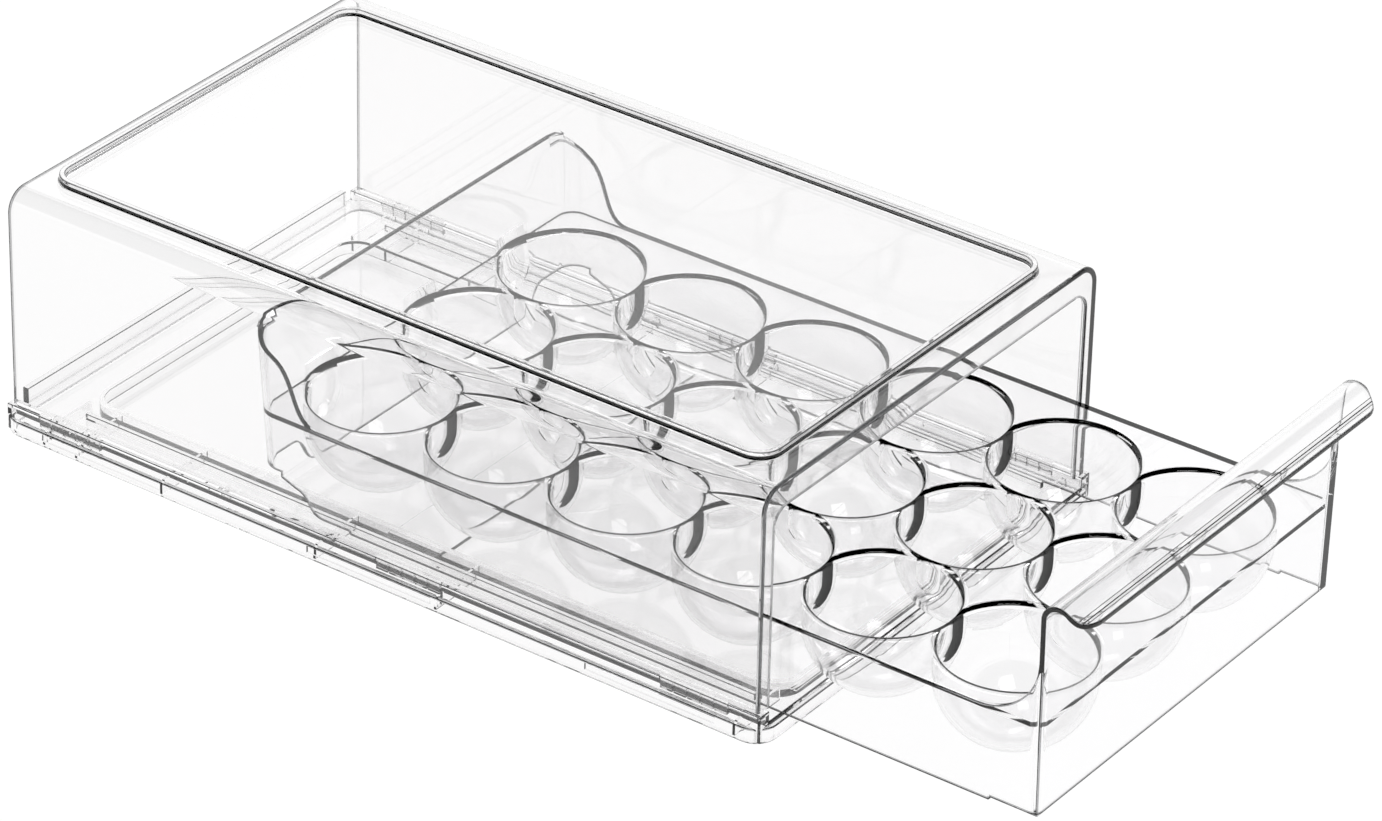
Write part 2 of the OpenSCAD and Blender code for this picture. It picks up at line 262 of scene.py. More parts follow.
# The lights: name, place, size and share of the key light's power
SOFTBOXES = (("key_light", (-1.2, -1.6, 2.6), 1.2, 1.0), ("rim_light", (1.8, 1.4, 2.2), 0.8, 0.6),
             ("top_light", (-0.4, 0.5, 3.0), 0.7, 0.4))


# ---------------------------------------------------------------- modelling helpers

def select_only(piece):
    """Makes one object the only selected one, and the active one."""
    bpy.ops.object.select_all(action="DESELECT")
    piece.select_set(True)
    bpy.context.view_layer.objects.active = piece


@contextmanager
def editing(piece):
    """Edit mode on one object, with nothing selected inside it."""
    select_only(piece)
    bpy.ops.object.mode_set(mode="EDIT")
    bpy.ops.mesh.select_mode(type="EDGE")
    bpy.ops.mesh.select_all(action="DESELECT")
    yield
    bpy.ops.object.mode_set(mode="OBJECT")


def pick(piece, elements, test):
    """In edit mode, adds to the selection the verts, edges or faces that pass a test."""
    mesh = bmesh.from_edit_mesh(piece.data)
    for element in getattr(mesh, elements):
        if test(element):
            element.select_set(True)
    bmesh.update_edit_mesh(piece.data)


def runs_along(edge, axis):
    """Whether an edge is parallel to an axis, 0 to 2."""
    start, end = (vertex.co for vertex in edge.verts)
    step = end - start
    return abs(step[axis]) > 0.999 * step.length


def lies_in(edge, axis, level, slack=0.02 * MM):
    """Whether both ends of an edge are at one level along an axis."""
    return all(abs(vertex.co[axis] - level) < slack for vertex in edge.verts)


def is_sharp(edge):
    """Whether an edge is a convex corner between two faces."""
    return edge.is_convex and edge.calc_face_angle(0) > CORNER_ANGLE


def is_crease(edge):
    """Whether an edge is a concave corner between two faces."""
    return not edge.is_convex and edge.calc_face_angle(0) > CORNER_ANGLE


def round_edges(piece, radius, segments, test, slot=WALL_SLOT):
    """Rounds the edges that pass a test."""
    with editing(piece):
        pick(piece, "edges", test)
        bpy.ops.mesh.bevel(offset=radius, segments=segments, affect="EDGES", material=slot)


def soften(piece, radius, test):
    """Rounds small edges that pass a test, and gives them the edge slot, whose dark material is painted
    shade.
    """
    round_edges(piece, radius, SOFT_STEPS, test, EDGE_SHADE_SLOT)


def name_piece(name):
    """Names the object just added and gives it a slot for walls and one for the painted shade on small
    edges.
    """
    piece = bpy.context.object
    piece.name = name
    for _ in (WALL_SLOT, EDGE_SHADE_SLOT):
        piece.data.materials.append(None)
    return piece


def add_block(name, low, high):
    """A cube from one corner to the other, with its place in its mesh."""
    low, high = Vector(low), Vector(high)
    bpy.ops.mesh.primitive_cube_add(size=1, location=(low + high) / 2, scale=high - low)
    bpy.ops.object.transform_apply(location=True, rotation=False, scale=True)
    return name_piece(name)


def add_side_block(name, side, across, along, levels):
    """A block on one side of the object: distances from the middle, along it and up."""
    low, high = sorted(side * place for place in across)
    return add_block(name, (low, along[0], levels[0]), (high, along[1], levels[1]))


def add_slab(name, half_width, along, levels, radius):
    """A block centred across the object, with round plan corners."""
    slab = add_block(name, (-half_width, along[0], levels[0]), (half_width, along[1], levels[1]))
    round_edges(slab, radius, CORNER_STEPS, lambda edge: runs_along(edge, 2))
    return slab


def add_arch(name, half_width, along, levels, radius):
    """A block centred across the object, with round long top edges."""
    arch = add_block(name, (-half_width, along[0], levels[0]), (half_width, along[1], levels[1]))
    round_edges(arch, radius, CURVE_STEPS,
                lambda edge: runs_along(edge, 1) and lies_in(edge, 2, levels[1]))
    return arch


def place_outline(piece, places):
    """In edit mode, puts an outline's vertices in their places, in order."""
    mesh = bmesh.from_edit_mesh(piece.data)
    for vertex, place in zip(mesh.verts, places):
        vertex.co = place
    bmesh.update_edit_mesh(piece.data)


def add_prism(name, outline, axis, start, end):
    """A closed outline in the two other axes, extruded along axis 0 or 1."""
    bpy.ops.mesh.primitive_circle_add(vertices=len(outline), fill_type="NGON")
    prism = name_piece(name)
    with editing(prism):
        place_outline(prism, [(start, a, b) if axis == 0 else (a, start, b) for a, b in outline])
        bpy.ops.mesh.select_all(action="SELECT")
        step = Vector((0, 0, 0))
        step[axis] = end - start
        bpy.ops.mesh.extrude_region_move(TRANSFORM_OT_translate={"value": step})
        bpy.ops.mesh.select_all(action="SELECT")
        bpy.ops.mesh.normals_make_consistent(inside=False)
    return prism


def add_turned(name, profile, steps):
    """A chain of (radius, height) points that starts and ends on the axis, spun a full turn about Z."""
    bpy.ops.mesh.primitive_circle_add(vertices=len(profile), fill_type="NOTHING")
    turned = name_piece(name)
    ends = {round(profile[0][1], 6), round(profile[-1][1], 6)}
    with editing(turned):
        place_outline(turned, [(radius, 0, height) for radius, height in profile])
        pick(turned, "edges", lambda edge: lies_in(edge, 0, 0, TOUCH)
             and {round(vertex.co.z, 6) for vertex in edge.verts} == ends)
        bpy.ops.mesh.delete(type="EDGE")
        bpy.ops.mesh.select_all(action="SELECT")
        bpy.ops.mesh.spin(steps=steps, angle=math.tau, center=(0, 0, 0), axis=(0, 0, 1))
        bpy.ops.mesh.select_all(action="SELECT")
        bpy.ops.mesh.remove_doubles(threshold=TOUCH)
        bpy.ops.mesh.normals_make_consistent(inside=False)
    return turned


def combine(piece, tool, operation):
    """Adds a solid to a piece, cuts it out, or keeps what they share. The tool is used up."""
    select_only(piece)
    boolean = piece.modifiers.new("Combine", "BOOLEAN")
    boolean.operation = operation
    boolean.object = tool
    boolean.solver = "MANIFOLD"
    bpy.ops.object.modifier_apply(modifier=boolean.name)
    remove(tool)
    return piece


def remove(piece):
    """Deletes an object and its mesh."""
    mesh = piece.data
    bpy.data.objects.remove(piece)
    bpy.data.meshes.remove(mesh)


def combine_copies(piece, tool, places, operation):
    """Combines a piece with a copy of a solid at each place. The solid is used up."""
    for place in places:
        copy = tool.copy()
        copy.data = tool.data.copy()
        bpy.context.collection.objects.link(copy)
        copy.data.transform(Matrix.Translation(place))
        combine(piece, copy, operation)
    remove(tool)


def arc(centre, radius, start, end, count):
    """Points on a circle between two angles in degrees."""
    angles = [math.radians(start + (end - start) * i / count) for i in range(count + 1)]
    return [(centre[0] + radius * math.cos(a), centre[1] + radius * math.sin(a)) for a in angles]


def bezier(points):
    """Points on a cubic curve."""
    curve = []
    for i in range(CURVE_STEPS + 1):
        t = i / CURVE_STEPS
        weights = ((1 - t) ** 3, 3 * (1 - t) ** 2 * t, 3 * (1 - t) * t * t, t ** 3)
        curve.append(tuple(sum(w * p[k] for w, p in zip(weights, points)) for k in (0, 1)))
    return curve


def placed(points, origin):
    """Points in millimetres, moved to an origin in metres."""
    return [(origin[0] + a * MM, origin[1] + b * MM) for a, b in points]


def finish_moulding(piece, wall_and_edge_shade):
    """Cleans a moulding's mesh, shades it smooth with its flat walls kept flat, and fills its two slots:
    clear walls and painted edge shade.
    """
    with editing(piece):
        bpy.ops.mesh.select_all(action="SELECT")
        bpy.ops.mesh.remove_doubles(threshold=SLIVER)
        bpy.ops.mesh.dissolve_degenerate(threshold=SLIVER)
        bpy.ops.mesh.select_all(action="SELECT")
        bpy.ops.mesh.delete_loose(use_verts=True, use_edges=True, use_faces=False)
    select_only(piece)
    bpy.ops.object.shade_smooth_by_angle(angle=SMOOTH_ANGLE)
    weighted = piece.modifiers.new("Weighted", "WEIGHTED_NORMAL")
    weighted.keep_sharp = True
    bpy.ops.object.modifier_apply(modifier=weighted.name)
    # The second slot gets the painted edge shade
    for slot, plastic in zip((WALL_SLOT, EDGE_SHADE_SLOT), wall_and_edge_shade):
        piece.data.materials[slot] = plastic


# ---------------------------------------------------------------- materials

def add_input(group, name, kind, default):
    """A named input on a node group."""
    group.interface.new_socket(name, in_out="INPUT", socket_type=kind).default_value = default


def moulded_surface():
    """The group that every plastic shares: slow waves, faint scuffs and a drifting tint."""
    group = bpy.data.node_groups.get("moulded_surface")
    if group:
        return group
    group = bpy.data.node_groups.new("moulded_surface", "ShaderNodeTree")
    group.interface.new_socket("Place", in_out="INPUT", socket_type="NodeSocketVector")
    add_input(group, "Colour", "NodeSocketColor", (1, 1, 1, 1))
    add_input(group, "Flow Colour", "NodeSocketColor", (1, 1, 1, 1))
    add_input(group, "Flow", "NodeSocketFloat", 0.1)
    add_input(group, "Wave Scale", "NodeSocketFloat", 20)
    add_input(group, "Scuff Scale", "NodeSocketFloat", 90)
    add_input(group, "Scuff Roughness", "NodeSocketFloat", 0.01)
    group.interface.new_socket("Colour", in_out="OUTPUT", socket_type="NodeSocketColor")
    group.interface.new_socket("Height", in_out="OUTPUT", socket_type="NodeSocketFloat")
    group.interface.new_socket("Roughness", in_out="OUTPUT", socket_type="NodeSocketFloat")
    nodes, links = group.nodes, group.links
    given = nodes.new("NodeGroupInput")
    result = nodes.new("NodeGroupOutput")
    wave = nodes.new("ShaderNodeTexNoise")
    wave.inputs["Detail"].default_value = 1
    links.new(given.outputs["Place"], wave.inputs["Vector"])
    links.new(given.outputs["Wave Scale"], wave.inputs["Scale"])
    links.new(wave.outputs["Fac"], result.inputs["Height"])
    scuff = nodes.new("ShaderNodeTexNoise")
    scuff.inputs["Detail"].default_value = 2
    links.new(given.outputs["Place"], scuff.inputs["Vector"])
    links.new(given.outputs["Scuff Scale"], scuff.inputs["Scale"])
    spots = nodes.new("ShaderNodeMapRange")
    spots.inputs["From Min"].default_value = SCUFF_RANGE[0]
    spots.inputs["From Max"].default_value = SCUFF_RANGE[1]
    links.new(scuff.outputs["Fac"], spots.inputs["Value"])
    links.new(given.outputs["Scuff Roughness"], spots.inputs["To Max"])
    links.new(spots.outputs["Result"], result.inputs["Roughness"])
    drift = nodes.new("ShaderNodeMath")
    drift.operation = "MULTIPLY"
    links.new(wave.outputs["Fac"], drift.inputs[0])
    links.new(given.outputs["Flow"], drift.inputs[1])
    tint = nodes.new("ShaderNodeMix")
    tint.data_type = "RGBA"
    colour_a, colour_b = (socket for socket in tint.inputs if socket.type == "RGBA")
    links.new(drift.outputs["Value"], tint.inputs["Factor"])
    links.new(given.outputs["Colour"], colour_a)
    links.new(given.outputs["Flow Colour"], colour_b)
    mixed = next(socket for socket in tint.outputs if socket.type == "RGBA")
    links.new(mixed, result.inputs["Colour"])
    return group


def clear_plastic(name, surface_tint, finish, flow, wave_scale, wave_height, scuffs):
    """Clear moulded plastic with its own share of waves and scuffs; tinted dark, it also makes the painted
    shade on small edges.
    """
    material = bpy.data.materials.new(name)
    material.use_nodes = True
    nodes, links = material.node_tree.nodes, material.node_tree.links
    shader = nodes["Principled BSDF"]
    shader.inputs["IOR"].default_value = finish.refraction
    shader.inputs["Transmission Weight"].default_value = 1
    surface = nodes.new("ShaderNodeGroup")
    surface.node_tree = moulded_surface()
    surface.inputs["Colour"].default_value = (*surface_tint, 1)
    surface.inputs["Flow Colour"].default_value = (*finish.flow_tint, 1)
    surface.inputs["Flow"].default_value = flow
    surface.inputs["Wave Scale"].default_value = wave_scale
    surface.inputs["Scuff Roughness"].default_value = scuffs
    place = nodes.new("ShaderNodeTexCoord")
    bump = nodes.new("ShaderNodeBump")
    bump.inputs["Strength"].default_value = 1
    bump.inputs["Distance"].default_value = wave_height
    links.new(place.outputs["Object"], surface.inputs["Place"])
    links.new(surface.outputs["Colour"], shader.inputs["Base Color"])
    links.new(surface.outputs["Roughness"], shader.inputs["Roughness"])
    links.new(surface.outputs["Height"], bump.inputs["Height"])
    links.new(bump.outputs["Normal"], shader.inputs["Normal"])
    return material


def plastic_and_edge_shade(name, surface_tint, finish, **values):
    """A piece's clear walls, and painted shade on its small rounded edges: the clear plastic tinted dark
    where refraction would draw dark lines.
    """
    # The second material is painted shade, a dark tint on the small edges
    return (clear_plastic(name, surface_tint, finish, **values),
            clear_plastic(name + "_edge", finish.edge_colour, finish, **values))


# ---------------------------------------------------------------- hood

def from_hood_front(ends):
    """Two places along the hood, from millimetres behind its front face."""
    hood_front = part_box("hood_cover")[0].y
    return tuple(hood_front + place * MM for place in ends)


def add_ring(s, half, ends, top, ring_top):
    """The stacking ring, as a frame sunk a little into the hood's top."""
    ring_half = half - s.ring_side_gap
    outer = (ends[0] + s.ring_front_gap, ends[1] - s.ring_rear_gap)
    inner = (outer[0] + s.ring_wall, outer[1] - s.ring_wall)
    ring = add_slab("ring", ring_half, outer, (top - s.wall / 2, ring_top), s.ring_radius)
    inside = add_slab("ring_inside", ring_half - s.ring_wall, inner,
                      (top - OVERSHOOT, ring_top + OVERSHOOT), s.ring_radius - s.ring_wall)
    combine(ring, inside, "DIFFERENCE")
    soften(ring, s.ring_edge, lambda edge: lies_in(edge, 2, ring_top) and is_sharp(edge))
    return ring


def add_tabs(hood, s, half, bottom):
    """Snap tabs of close ribs under the hood's side walls."""
    middle = half - s.wall / 2
    across = (middle - s.tab_thickness / 2, middle + s.tab_thickness / 2)
    root = s.foot + s.wall / 4
    pitch = (s.tab_length + s.rib_gap) / s.tab_ribs
    for side in (-1, 1):
        for centre in from_hood_front(TAB_CENTRES):
            for rib in range(s.tab_ribs):
                start = centre - s.tab_length / 2 + rib * pitch
                along = (start, start + pitch - s.rib_gap)
                combine(hood, add_side_block("rib", side, across, along, (bottom, root)), "UNION")


def build_hood(s, wall_and_edge_shade):
    """The hood: a hollow arch with a smaller opening at its front, a stacking ring and snap tabs."""
    low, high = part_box("hood_cover")
    half, ends = high.x, (low.y, high.y)
    top = high.z - s.ring_height
    hood = add_arch("hood", half, ends, (s.foot, top), s.edge_radius)
    combine(hood, add_arch("hollow", half - s.wall, (ends[0] + s.wall, ends[1] + OVERSHOOT),
                           (s.foot - OVERSHOOT, top - s.wall), s.inner_radius), "DIFFERENCE")
    combine(hood, add_arch("opening", half - s.flange, (ends[0] - OVERSHOOT, ends[0] + 2 * s.wall),
                           (s.foot - OVERSHOOT, top - s.lip_drop), s.opening_radius), "DIFFERENCE")
    soften(hood, s.soft_edge, lambda edge: is_sharp(edge) and not lies_in(edge, 2, s.foot))
    combine(hood, add_ring(s, half, ends, top, high.z), "UNION")
    round_edges(hood, s.ring_foot, SOFT_STEPS, lambda edge: lies_in(edge, 2, top) and is_crease(edge))
    add_tabs(hood, s, half, low.z)
    finish_moulding(hood, wall_and_edge_shade)
    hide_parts("hood_cover")
    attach(hood, "housing")
    return hood


# ---------------------------------------------------------------- base

def add_rims_and_rails(base, s, half, rear_rim_top):
    """The rims that the hood stands on, the drawer's guide rails and the rear rim."""
    hood_low, hood_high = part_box("hood_cover")
    rim_outer = half - s.band_inset
    rim_ends = (hood_low.y - s.rim_overrun, hood_high.y + s.rim_overrun)
    rim_across = (rim_outer, rim_outer - s.rim_width)
    rail_across = (s.rail_place, s.rail_place + s.rail_width)
    buried = s.floor / 2
    for side in (-1, 1):
        for name, across, along, top in (("rim", rim_across, rim_ends, s.rim_top),
                                         ("rail", rail_across, from_hood_front(RAIL_ENDS), s.rail_top)):
            block = add_side_block(name, side, across, along, (buried, top))
            soften(block, FINE_SHARE * s.soft_edge,
                   lambda edge: lies_in(edge, 2, top) or runs_along(edge, 2))
            combine(base, block, "UNION")
    start, end = from_hood_front(REAR_RIM_ENDS)
    block = add_block("rear_rim", (-s.rear_rim_half, start, buried), (s.rear_rim_half, end, rear_rim_top))
    soften(block, FINE_SHARE * s.soft_edge,
           lambda edge: lies_in(edge, 2, rear_rim_top) or runs_along(edge, 2))
    combine(base, block, "UNION")


def cut_hollows(base, s, half, ends):
    """Takes out the recessed floor, and the space under the platform and inside the rims."""
    recess_ends = from_hood_front(RECESS_ENDS)
    above = s.rim_top + OVERSHOOT
    recess = add_slab("recess", s.recess_half, recess_ends, (s.floor, above), s.recess_radius)
    round_edges(recess, s.recess_edge, SOFT_STEPS, lambda edge: lies_in(edge, 2, s.floor))
    combine(base, recess, "DIFFERENCE")
    hollow = add_slab("hollow", half - s.band_skin, (ends[0] + s.band_skin, ends[1] - s.band_skin),
                      (-OVERSHOOT, s.platform_top - s.skin), s.corner_radius - s.band_skin)
    core = add_slab("core", s.recess_half + s.skin, (recess_ends[0] - s.skin, recess_ends[1] + s.skin),
                    (-2 * OVERSHOOT, above), s.recess_radius + s.skin)
    combine(hollow, core, "DIFFERENCE")
    rim_outer = half - s.band_inset
    hood_low, hood_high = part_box("hood_cover")
    inset = s.rim_skin - s.rim_overrun
    for side in (-1, 1):
        combine(hollow, add_side_block("rim_hollow", side,
                                       (rim_outer - s.rim_skin, rim_outer - s.rim_width + s.rim_skin),
                                       (hood_low.y + inset, hood_high.y - inset),
                                       (-OVERSHOOT, s.rim_top - s.skin)), "UNION")
    combine(base, hollow, "DIFFERENCE")


def cut_details(base, s, half):
    """Webs, slots for the hood's tabs, windows in the band, the sill's groove and the cross band."""
    buried = s.floor / 2
    slot_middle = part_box("hood_cover")[1].x - s.slot_width / 2
    for side in (-1, 1):
        for centre in from_hood_front(WEB_PLACES):
            combine(base, add_side_block("web", side, (s.recess_half + buried, half - buried),
                                         (centre - s.web / 2, centre + s.web / 2),
                                         (s.soft_edge, s.band_top)), "UNION")
        for centre in from_hood_front(TAB_CENTRES):
            combine(base, add_side_block("slot", side,
                                         (slot_middle - s.slot_width / 2, slot_middle + s.slot_width / 2),
                                         (centre - s.slot_length / 2, centre + s.slot_length / 2),
                                         (buried, s.rim_top + OVERSHOOT)), "DIFFERENCE")
        for centre in from_hood_front(WINDOW_CENTRES):
            combine(base, add_side_block("window", side, (half - s.window_depth, half + OVERSHOOT),
                                         (centre - s.window_length / 2, centre + s.window_length / 2),
                                         [level * MM for level in WINDOW_LEVELS]), "DIFFERENCE")
    start, end = from_hood_front(SILL_GROOVE_ENDS)
    combine(base, add_block("sill_groove", (-s.recess_half, start, s.platform_top - s.groove_depth),
                            (s.recess_half, end, s.rim_top + OVERSHOOT)), "DIFFERENCE")
    start, end = from_hood_front(CROSS_BAND_ENDS)
    band_half, band_top = s.recess_half + s.soft_edge, s.floor + s.cross_band
    band = add_block("cross_band", (-band_half, start, buried), (band_half, end, band_top))
    soften(band, FINE_SHARE * s.soft_edge,
           lambda edge: lies_in(edge, 2, band_top) and runs_along(edge, 0))
    combine(base, band, "UNION")


def build_base(s, wall_and_edge_shade):
    """The base: a band, a platform on it, rims and rails, then its hollows and small features."""
    low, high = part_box("base_tray")
    half, ends = high.x, (low.y, high.y)
    base = add_slab("base", half, ends, (low.z, s.band_top), s.corner_radius)
    soften(base, s.soft_edge, lambda edge: lies_in(edge, 2, low.z) or lies_in(edge, 2, s.band_top))
    platform = add_slab("platform", half - s.band_inset, (ends[0] + s.band_inset, ends[1] - s.band_inset),
                        (s.floor / 2, s.platform_top), s.corner_radius - s.band_inset)
    soften(platform, s.soft_edge, lambda edge: lies_in(edge, 2, s.platform_top))
    combine(base, platform, "UNION")
    add_rims_and_rails(base, s, half, high.z)
    cut_hollows(base, s, half, ends)
    cut_details(base, s, half)
    finish_moulding(base, wall_and_edge_shade)
    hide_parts("base_tray")
    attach(base, "housing")
    return base


# ---------------------------------------------------------------- drawer

DrawerPlaces = namedtuple("DrawerPlaces", "front skirt plate rear_top lip")


def drawer_places(s):
    """The drawer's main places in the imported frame."""
    side_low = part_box("drawer_side_right")[0]
    return DrawerPlaces(front=side_low.y - s.wall, skirt=side_low.z, plate=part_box("egg_cup_plate")[1].z,
                        rear_top=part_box("drawer_rear_wall")[1].z, lip=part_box("drawer_front_handle")[0].y)


def half_at(s, at, level):
    """Half the drawer's outer width at a level."""
    return s.half_width + (level - at.skirt) * s.side_lean


def length_at(s, at, level):
    """The drawer's length at a level."""
    return s.length + (level - at.skirt) * s.rear_lean


def add_leaning_block(name, s, at, inset, front_radius):
    """The drawer's body as a solid whose sides and rear lean out, shrunk by an inset."""
    bottom, top = (level * MM for level in LEAN_LEVELS)
    start = at.front + inset
    half = half_at(s, at, bottom) - inset
    reach = length_at(s, at, bottom) - 2 * inset
    block = add_block(name, (-half, start, bottom), (half, start + reach, top))
    round_edges(block, s.rear_radius - inset, CORNER_STEPS,
                lambda edge: runs_along(edge, 2) and not lies_in(edge, 1, start))
    round_edges(block, front_radius, FRONT_STEPS,
                lambda edge: runs_along(edge, 2) and lies_in(edge, 1, start))
    with editing(block):
        pick(block, "faces", lambda face: all(vertex.co.z > top - 0.01 * MM for vertex in face.verts))
        wider = (half_at(s, at, top) - inset) / half
        longer = (length_at(s, at, top) - 2 * inset) / reach
        bpy.ops.transform.resize(value=(wider, longer, 1), center_override=(0, start, top))
    return block


def side_outline(s, at):
    """Outline of the side walls, back from the front panel and up."""
    raised, back = at.skirt + s.skirt_lift, RUNNER_ENDS[1]
    on_floor = (at.front, 0)
    start = at.front - 4 * OVERSHOOT
    runner = [at.front + end * MM for end in RUNNER_ENDS]
    sweep = FRONT_SWEEP * MM
    return ([(start, raised), (runner[0], raised), (runner[0], at.skirt), (runner[1], at.skirt),
             (at.front + (back + 1) * MM, raised)]
            + placed(bezier(LOWER_SWEEP) + list(LOWER_REAR), on_floor)
            + placed(UPPER_REAR, (at.front, at.rear_top))
            + placed(bezier(UPPER_SWEEP)[::-1], (at.front, at.plate))
            + arc((at.front + s.wall + sweep, at.plate + sweep), sweep, 180, 270, SWEEP_STEPS)[::-1]
            + [(start, at.plate + sweep)])


def rear_outline(at):
    """Outline of the rear wall, across and up."""
    slope = placed(REAR_TOP_SLOPE, (0, at.rear_top))
    right = (placed(bezier(REAR_LOW_CURVE), (0, 0)) + [(WIDE, REAR_LOW * MM), (WIDE, slope[-1][1])]
             + slope[::-1])
    return right + [(-x, z) for x, z in right[::-1]]


def add_walls(s, at):
    """The two side walls and the rear wall, cut to their outlines."""
    walls = add_leaning_block("drawer", s, at, 0, s.front_radius)
    combine(walls, add_leaning_block("inside", s, at, s.wall, s.front_fillet), "DIFFERENCE")
    top = LEAN_LEVELS[1] * MM
    split, beyond = at.front + REAR_WALL_START * MM, at.front + s.length + 10 * OVERSHOOT
    straight = REAR_STRAIGHT * MM
    keep = add_prism("side_keep", side_outline(s, at), 0, -WIDE, WIDE)
    combine(keep, add_block("middle_keep", (-straight, split, 0), (straight, beyond, top + OVERSHOOT)),
            "UNION")
    combine(walls, keep, "INTERSECT")
    keep = add_prism("rear_keep", rear_outline(at), 1, split, beyond)
    combine(keep, add_block("front_keep", (-WIDE, at.front - OVERSHOOT, -OVERSHOOT),
                            (WIDE, split, top + OVERSHOOT)), "UNION")
    combine(walls, keep, "INTERSECT")
    soften(walls, s.soft_edge, is_sharp)
    combine(walls, add_block("front_cut", (-WIDE, at.front - OVERSHOOT, -OVERSHOOT),
                             (WIDE, at.front + s.wall / 2, top + OVERSHOOT)), "DIFFERENCE")
    return walls


def panel_section(s, at):
    """The front panel's section, along and up, curling over into the handle."""
    t = s.wall / 2
    sweep = s.curl_sweep
    turn = math.degrees(sweep)
    curl = (at.front + t - s.curl_radius, s.curl_level)
    reach = s.curl_radius + s.flare_radius
    flare = (curl[0] + reach * math.cos(sweep) - s.curl_straight * math.sin(sweep),
             curl[1] + reach * math.sin(sweep) + s.curl_straight * math.cos(sweep))
    tip = (flare[0] - s.flare_end, flare[1] - s.flare_radius)
    foot = at.skirt + s.skirt_lift
    return ([(at.front + s.wall, foot)]
            + arc(curl, s.curl_radius + t, 0, turn, CURL_STEPS)
            + arc(flare, s.flare_radius - t, turn - 180, -90, FLARE_STEPS)
            + arc(tip, t, 90, 270, TIP_STEPS)
            + arc(flare, s.flare_radius + t, turn - 180, -90, FLARE_STEPS)[::-1]
            + arc(curl, s.curl_radius - t, 0, turn, CURL_STEPS)[::-1]
            + [(at.front, foot)])


def add_front_panel(s, at):
    """The front panel with its curled handle, cut to the drawer's lean and the lip's round corners."""
    panel = add_prism("front_panel", panel_section(s, at), 0, -WIDE, WIDE)
    top = LEAN_LEVELS[1] * MM
    half_low, half_high = s.half_width, half_at(s, at, top)
    keep = add_prism("panel_keep", [(-half_low, at.skirt), (half_low, at.skirt), (half_high, top),
                                    (-half_high, top)], 1, at.lip - OVERSHOOT, at.front + 4 * OVERSHOOT)
    combine(panel, keep, "INTERSECT")
    lip_half = half_high + s.wall / 10
    behind = at.front + 2 * s.lip_radius
    lip = add_slab("lip_keep", lip_half, (at.lip, behind), (s.curl_level, top), s.lip_radius)
    combine(lip, add_block("rear_of_lip", (-WIDE, at.lip + s.lip_radius, -OVERSHOOT), (WIDE, behind, top)),
            "UNION")
    combine(panel, lip, "INTERSECT")
    soften(panel, s.soft_edge, is_sharp)
    return panel


def add_plate(walls, s, at):
    """The plate that the cups hang from."""
    level = at.plate - s.wall
    half = half_at(s, at, level) - s.wall / 2
    along = (at.front + s.wall / 2, at.front + length_at(s, at, level) - s.wall / 2)
    combine(walls, add_slab("plate", half, along, (level, at.plate), s.plate_radius), "UNION")


def add_cups(walls, s, at):
    """Round-bottomed cups with flared mouths, in rows across the plate."""
    steps = CUP_STEPS
    rise = at.plate - s.cup_centre
    outer = s.cup_radius + s.cup_wall
    flare = s.mouth_radius - s.cup_radius
    outside = ([(0, rise - s.wall / 2), (outer, rise - s.wall / 2)]
               + arc((0, 0), outer, 0, -90, steps // 4)[:-1] + [(0, -outer)])
    inside = ([(0, rise + OVERSHOOT), (s.mouth_radius, rise + OVERSHOOT)]
              + arc((s.mouth_radius, rise - flare), flare, 90, 180, FLARE_STEPS)
              + arc((0, 0), s.cup_radius, 0, -90, steps // 4)[:-1] + [(0, -s.cup_radius)])
    places = [Vector(((column - (s.columns - 1) / 2) * s.column_pitch,
                      at.front + s.first_row + row * s.row_pitch, s.cup_centre))
              for row in range(s.rows) for column in range(s.columns)]
    combine_copies(walls, add_turned("pot", outside, steps), places, "UNION")
    combine_copies(walls, add_turned("cavity", inside, steps), places, "DIFFERENCE")


def build_drawer(s, wall_and_edge_shade):
    """The drawer: walls, a front panel with its handle, and a plate of cups."""
    at = drawer_places(s)
    drawer = add_walls(s, at)
    combine(drawer, add_front_panel(s, at), "UNION")
    add_plate(drawer, s, at)
    add_cups(drawer, s, at)
    finish_moulding(drawer, wall_and_edge_shade)
    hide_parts("drawer_front_handle", "drawer_side_left", "drawer_side_right",
                "drawer_rear_wall", "egg_cup_plate")
    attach(drawer, "drawer")
    return drawer


# ---------------------------------------------------------------- stage

def add_floor(s):
    """A plain floor that glows white, so that nothing shades it."""
    bpy.ops.mesh.primitive_plane_add(size=s.floor_size, location=(0, 0, -s.floor_drop))
    bpy.ops.object.transform_apply(location=True, rotation=False, scale=False)
    floor = bpy.context.object
    floor.name = "floor"
    material = bpy.data.materials.new("white_floor")
    material.use_nodes = True
    shader = material.node_tree.nodes["Principled BSDF"]
    shader.inputs["Base Color"].default_value = (FLOOR_GREY, FLOOR_GREY, FLOOR_GREY, 1)
    shader.inputs["Emission Color"].default_value = (1, 1, 1, 1)
    shader.inputs["Emission Strength"].default_value = FLOOR_GLOW
    shader.inputs["Roughness"].default_value = 1
    floor.data.materials.append(material)


